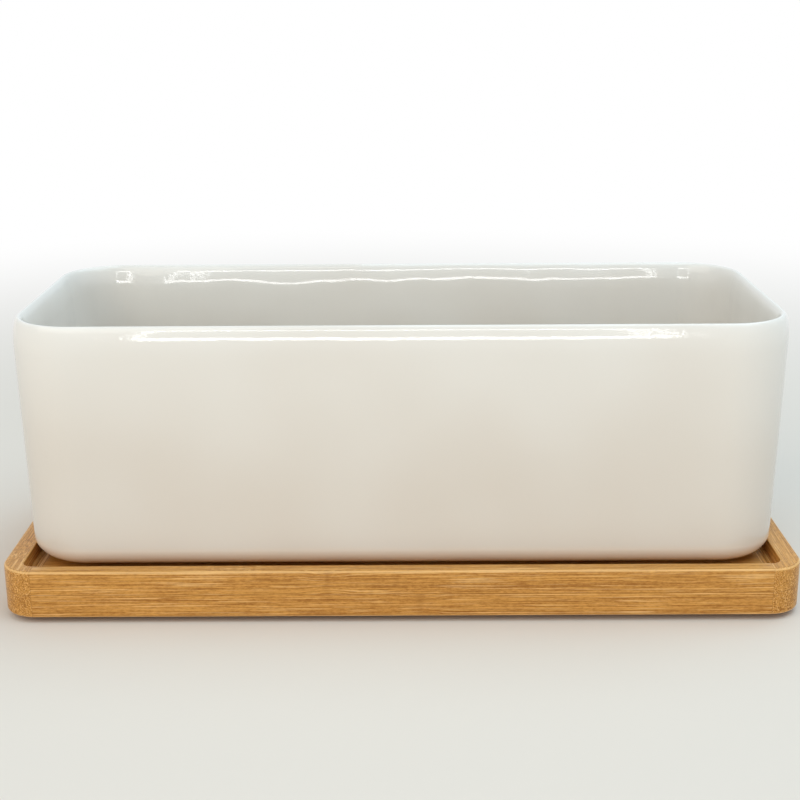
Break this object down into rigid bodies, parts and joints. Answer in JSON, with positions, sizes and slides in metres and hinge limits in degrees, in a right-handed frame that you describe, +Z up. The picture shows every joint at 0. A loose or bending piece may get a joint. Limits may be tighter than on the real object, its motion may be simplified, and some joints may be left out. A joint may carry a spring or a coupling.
{
  "type": "indoor herb planter",
  "caption": "Rectangular white glazed ceramic planter with rounded corners, standing in the shallow recess of a bamboo drip tray.",
  "frame": {"origin": "on the surface the planter stands on, under the middle of the tray", "axes": "+X along the length to the right, -Y is the front, +Z is up out of the pot"},
  "size_m": [0.27, 0.124, 0.1],
  "materials": {
    "white_glaze": "gloss glaze over white earthenware, bare on the foot ring",
    "bamboo": "laminated bamboo under a thin satin lacquer",
    "bumper_rubber": "matte soft rubber",
    "screen_plastic": "matte moulded net"
  },
  "bodies": {
    "tray": {"left_rail": "bamboo", "right_rail": "bamboo", "front_rail": "bamboo", "back_rail": "bamboo", "tray_board": "bamboo", "bumper_front_left": "bumper_rubber", "bumper_back_left": "bumper_rubber", "bumper_front_right": "bumper_rubber", "bumper_back_right": "bumper_rubber"},
    "pot": {"pot": "white_glaze"},
    "screen_left": {"drain_screen_left": "screen_plastic"},
    "screen_right": {"drain_screen_right": "screen_plastic"}
  },
  "joints": [
    {"name": "pot_lift", "type": "slide", "parent": "tray", "child": "pot", "axis": [0, 0, 1], "range_m": [0, 0.06]},
    {"name": "screen_left_lift", "type": "slide", "parent": "pot", "child": "screen_left", "axis": [0, 0, 1], "range_m": [0, 0.09]},
    {"name": "screen_right_lift", "type": "slide", "parent": "pot", "child": "screen_right", "axis": [0, 0, 1], "range_m": [0, 0.09]}
  ]
}
